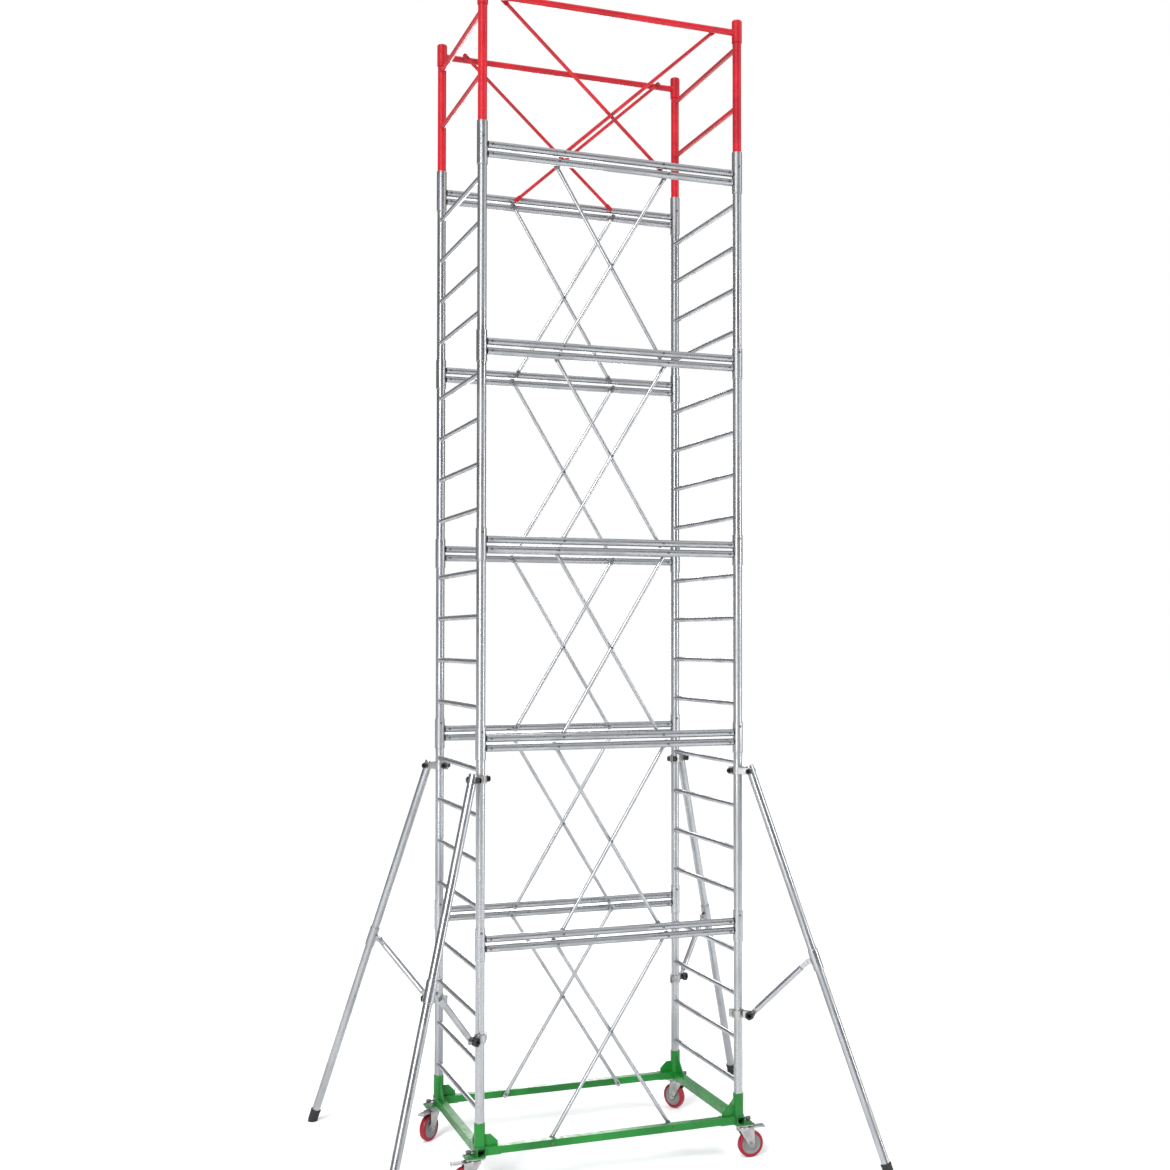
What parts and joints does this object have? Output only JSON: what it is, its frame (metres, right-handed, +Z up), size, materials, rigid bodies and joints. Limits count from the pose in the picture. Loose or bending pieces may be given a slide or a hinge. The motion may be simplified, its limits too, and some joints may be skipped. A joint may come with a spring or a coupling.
{
  "type": "frame scaffold section",
  "caption": "Mobile frame scaffold tower on a wheeled base with ladder frames, paired ledgers, cross braces, guardrail and outriggers.",
  "frame": {"origin": "on the floor, under the middle of the tower", "axes": "+X along the long side, +Y across the ladder frames, +Z up"},
  "size_m": [2.8532, 2.184, 6.486],
  "materials": {
    "galvanised": "galvanised, dull bright",
    "green_paint": "gloss enamel",
    "red_paint": "gloss enamel",
    "zinc_plate": "zinc plated",
    "dark_fastener": "dark, oiled",
    "grey_rim": "moulded",
    "crimson_tread": "cast polyurethane",
    "black_plastic": "moulded",
    "black_rubber": "moulded"
  },
  "bodies": {
    "root": {"base_end_frame_left": "green_paint", "base_end_frame_right": "green_paint", "base_long_beams": "green_paint", "base_lock_screws": "dark_fastener", "ladder_frame_1_left": "galvanised", "ladder_frame_1_right": "galvanised", "ladder_frame_2_left": "galvanised", "ladder_frame_2_right": "galvanised", "ladder_frame_3_left": "galvanised", "ladder_frame_3_right": "galvanised", "ladder_frame_4_left": "galvanised", "ladder_frame_4_right": "galvanised", "ladder_frame_5_left": "galvanised", "ladder_frame_5_right": "galvanised", "ledger_tubes": "galvanised", "brace_rods": "galvanised", "frame_bolts": "dark_fastener", "guardrail_end_frames": "red_paint", "guardrail_rails_and_braces": "red_paint", "caster_plates": "zinc_plate"},
    "caster_front_left_swivel": {"caster_front_left_fork": "zinc_plate"},
    "caster_front_left_wheel": {"caster_front_left_rim": "grey_rim", "caster_front_left_tyre": "crimson_tread"},
    "caster_front_left_brake": {"caster_front_left_pedal": "zinc_plate"},
    "caster_front_right_swivel": {"caster_front_right_fork": "zinc_plate"},
    "caster_front_right_wheel": {"caster_front_right_rim": "grey_rim", "caster_front_right_tyre": "crimson_tread"},
    "caster_front_right_brake": {"caster_front_right_pedal": "zinc_plate"},
    "caster_rear_left_swivel": {"caster_rear_left_fork": "zinc_plate"},
    "caster_rear_left_wheel": {"caster_rear_left_rim": "grey_rim", "caster_rear_left_tyre": "crimson_tread"},
    "caster_rear_left_brake": {"caster_rear_left_pedal": "zinc_plate"},
    "caster_rear_right_swivel": {"caster_rear_right_fork": "zinc_plate"},
    "caster_rear_right_wheel": {"caster_rear_right_rim": "grey_rim", "caster_rear_right_tyre": "crimson_tread"},
    "caster_rear_right_brake": {"caster_rear_right_pedal": "zinc_plate"},
    "outrigger_front_left_swing": {"outrigger_front_left_top_clamp": "black_plastic"},
    "outrigger_front_left_leg": {"outrigger_front_left_leg": "galvanised", "outrigger_front_left_foot": "black_rubber"},
    "outrigger_front_left_slider": {"outrigger_front_left_low_clamp": "zinc_plate", "outrigger_front_left_knob": "black_plastic"},
    "outrigger_front_left_strut": {"outrigger_front_left_strut": "galvanised"},
    "outrigger_front_right_swing": {"outrigger_front_right_top_clamp": "black_plastic"},
    "outrigger_front_right_leg": {"outrigger_front_right_leg": "galvanised", "outrigger_front_right_foot": "black_rubber"},
    "outrigger_front_right_slider": {"outrigger_front_right_low_clamp": "zinc_plate", "outrigger_front_right_knob": "black_plastic"},
    "outrigger_front_right_strut": {"outrigger_front_right_strut": "galvanised"},
    "outrigger_rear_left_swing": {"outrigger_rear_left_top_clamp": "black_plastic"},
    "outrigger_rear_left_leg": {"outrigger_rear_left_leg": "galvanised", "outrigger_rear_left_foot": "black_rubber"},
    "outrigger_rear_left_slider": {"outrigger_rear_left_low_clamp": "zinc_plate", "outrigger_rear_left_knob": "black_plastic"},
    "outrigger_rear_left_strut": {"outrigger_rear_left_strut": "galvanised"},
    "outrigger_rear_right_swing": {"outrigger_rear_right_top_clamp": "black_plastic"},
    "outrigger_rear_right_leg": {"outrigger_rear_right_leg": "galvanised", "outrigger_rear_right_foot": "black_rubber"},
    "outrigger_rear_right_slider": {"outrigger_rear_right_low_clamp": "zinc_plate", "outrigger_rear_right_knob": "black_plastic"},
    "outrigger_rear_right_strut": {"outrigger_rear_right_strut": "galvanised"}
  },
  "joints": [
    {"name": "caster_front_left_swivel", "type": "hinge", "parent": "root", "child": "caster_front_left_swivel", "pos_m": [-0.78, -0.48, 0.1776], "axis": [0, 0, 1], "continuous": true},
    {"name": "caster_front_left_roll", "type": "hinge", "parent": "caster_front_left_swivel", "child": "caster_front_left_wheel", "pos_m": [-0.825, -0.48, 0.075], "axis": [0, -1, 0], "continuous": true},
    {"name": "caster_front_left_brake", "type": "hinge", "parent": "caster_front_left_swivel", "child": "caster_front_left_brake", "pos_m": [-0.828, -0.48, 0.165], "axis": [0, -1, 0], "range_deg": [0, 12]},
    {"name": "caster_front_right_swivel", "type": "hinge", "parent": "root", "child": "caster_front_right_swivel", "pos_m": [0.78, -0.48, 0.1776], "axis": [0, 0, 1], "continuous": true},
    {"name": "caster_front_right_roll", "type": "hinge", "parent": "caster_front_right_swivel", "child": "caster_front_right_wheel", "pos_m": [0.825, -0.48, 0.075], "axis": [0, 1, 0], "continuous": true},
    {"name": "caster_front_right_brake", "type": "hinge", "parent": "caster_front_right_swivel", "child": "caster_front_right_brake", "pos_m": [0.828, -0.48, 0.165], "axis": [0, 1, 0], "range_deg": [0, 12]},
    {"name": "caster_rear_left_swivel", "type": "hinge", "parent": "root", "child": "caster_rear_left_swivel", "pos_m": [-0.78, 0.48, 0.1776], "axis": [0, 0, 1], "continuous": true},
    {"name": "caster_rear_left_roll", "type": "hinge", "parent": "caster_rear_left_swivel", "child": "caster_rear_left_wheel", "pos_m": [-0.81344, 0.44989, 0.075], "axis": [0.6691, -0.7431, 0], "continuous": true},
    {"name": "caster_rear_left_brake", "type": "hinge", "parent": "caster_rear_left_swivel", "child": "caster_rear_left_brake", "pos_m": [-0.81567, 0.44788, 0.165], "axis": [0.6691, -0.7431, 0], "range_deg": [0, 12]},
    {"name": "caster_rear_right_swivel", "type": "hinge", "parent": "root", "child": "caster_rear_right_swivel", "pos_m": [0.78, 0.48, 0.1776], "axis": [0, 0, 1], "continuous": true},
    {"name": "caster_rear_right_roll", "type": "hinge", "parent": "caster_rear_right_swivel", "child": "caster_rear_right_wheel", "pos_m": [0.75887, 0.51973, 0.075], "axis": [-0.8829, -0.4695, 0], "continuous": true},
    {"name": "caster_rear_right_brake", "type": "hinge", "parent": "caster_rear_right_swivel", "child": "caster_rear_right_brake", "pos_m": [0.75747, 0.52238, 0.165], "axis": [-0.8829, -0.4695, 0], "range_deg": [0, 12]},
    {"name": "outrigger_front_left_swing", "type": "hinge", "parent": "root", "child": "outrigger_front_left_swing", "pos_m": [-0.75, -0.48, 2.184], "axis": [0, 0, 1], "range_deg": [-40, 40]},
    {"name": "outrigger_front_left_lift", "type": "hinge", "parent": "outrigger_front_left_swing", "child": "outrigger_front_left_leg", "pos_m": [-0.80797, -0.53219, 2.184], "axis": [-0.6691, 0.7431, 0], "range_deg": [0, 2.25]},
    {"name": "outrigger_front_left_slide", "type": "slide", "parent": "outrigger_front_left_swing", "child": "outrigger_front_left_slider", "axis": [0, 0, 1], "range_m": [0, 0.0621]},
    {"name": "outrigger_front_left_strut", "type": "hinge", "parent": "outrigger_front_left_slider", "child": "outrigger_front_left_strut", "pos_m": [-0.80797, -0.53219, 0.812], "axis": [-0.6691, 0.7431, 0], "range_deg": [-7.98, 0]},
    {"name": "outrigger_front_right_swing", "type": "hinge", "parent": "root", "child": "outrigger_front_right_swing", "pos_m": [0.75, -0.48, 2.184], "axis": [0, 0, 1], "range_deg": [-40, 40]},
    {"name": "outrigger_front_right_lift", "type": "hinge", "parent": "outrigger_front_right_swing", "child": "outrigger_front_right_leg", "pos_m": [0.80797, -0.53219, 2.184], "axis": [-0.6691, -0.7431, 0], "range_deg": [0, 2.25]},
    {"name": "outrigger_front_right_slide", "type": "slide", "parent": "outrigger_front_right_swing", "child": "outrigger_front_right_slider", "axis": [0, 0, 1], "range_m": [0, 0.0621]},
    {"name": "outrigger_front_right_strut", "type": "hinge", "parent": "outrigger_front_right_slider", "child": "outrigger_front_right_strut", "pos_m": [0.80797, -0.53219, 0.812], "axis": [-0.6691, -0.7431, 0], "range_deg": [-7.98, 0]},
    {"name": "outrigger_rear_left_swing", "type": "hinge", "parent": "root", "child": "outrigger_rear_left_swing", "pos_m": [-0.75, 0.48, 2.184], "axis": [0, 0, 1], "range_deg": [-40, 40]},
    {"name": "outrigger_rear_left_lift", "type": "hinge", "parent": "outrigger_rear_left_swing", "child": "outrigger_rear_left_leg", "pos_m": [-0.80797, 0.53219, 2.184], "axis": [0.6691, 0.7431, 0], "range_deg": [0, 2.25]},
    {"name": "outrigger_rear_left_slide", "type": "slide", "parent": "outrigger_rear_left_swing", "child": "outrigger_rear_left_slider", "axis": [0, 0, 1], "range_m": [0, 0.0621]},
    {"name": "outrigger_rear_left_strut", "type": "hinge", "parent": "outrigger_rear_left_slider", "child": "outrigger_rear_left_strut", "pos_m": [-0.80797, 0.53219, 0.812], "axis": [0.6691, 0.7431, 0], "range_deg": [-7.98, 0]},
    {"name": "outrigger_rear_right_swing", "type": "hinge", "parent": "root", "child": "outrigger_rear_right_swing", "pos_m": [0.75, 0.48, 2.184], "axis": [0, 0, 1], "range_deg": [-40, 40]},
    {"name": "outrigger_rear_right_lift", "type": "hinge", "parent": "outrigger_rear_right_swing", "child": "outrigger_rear_right_leg", "pos_m": [0.80797, 0.53219, 2.184], "axis": [0.6691, -0.7431, 0], "range_deg": [0, 2.25]},
    {"name": "outrigger_rear_right_slide", "type": "slide", "parent": "outrigger_rear_right_swing", "child": "outrigger_rear_right_slider", "axis": [0, 0, 1], "range_m": [0, 0.0621]},
    {"name": "outrigger_rear_right_strut", "type": "hinge", "parent": "outrigger_rear_right_slider", "child": "outrigger_rear_right_strut", "pos_m": [0.80797, 0.53219, 0.812], "axis": [0.6691, -0.7431, 0], "range_deg": [-7.98, 0]}
  ],
  "couplings": [
    {"joint": "outrigger_front_left_slide", "follows": "outrigger_front_left_lift", "m_per_rad": 1.5786},
    {"joint": "outrigger_front_left_strut", "follows": "outrigger_front_left_lift", "ratio": -3.5425},
    {"joint": "outrigger_front_right_slide", "follows": "outrigger_front_right_lift", "m_per_rad": 1.5786},
    {"joint": "outrigger_front_right_strut", "follows": "outrigger_front_right_lift", "ratio": -3.5425},
    {"joint": "outrigger_rear_left_slide", "follows": "outrigger_rear_left_lift", "m_per_rad": 1.5786},
    {"joint": "outrigger_rear_left_strut", "follows": "outrigger_rear_left_lift", "ratio": -3.5425},
    {"joint": "outrigger_rear_right_slide", "follows": "outrigger_rear_right_lift", "m_per_rad": 1.5786},
    {"joint": "outrigger_rear_right_strut", "follows": "outrigger_rear_right_lift", "ratio": -3.5425}
  ]
}
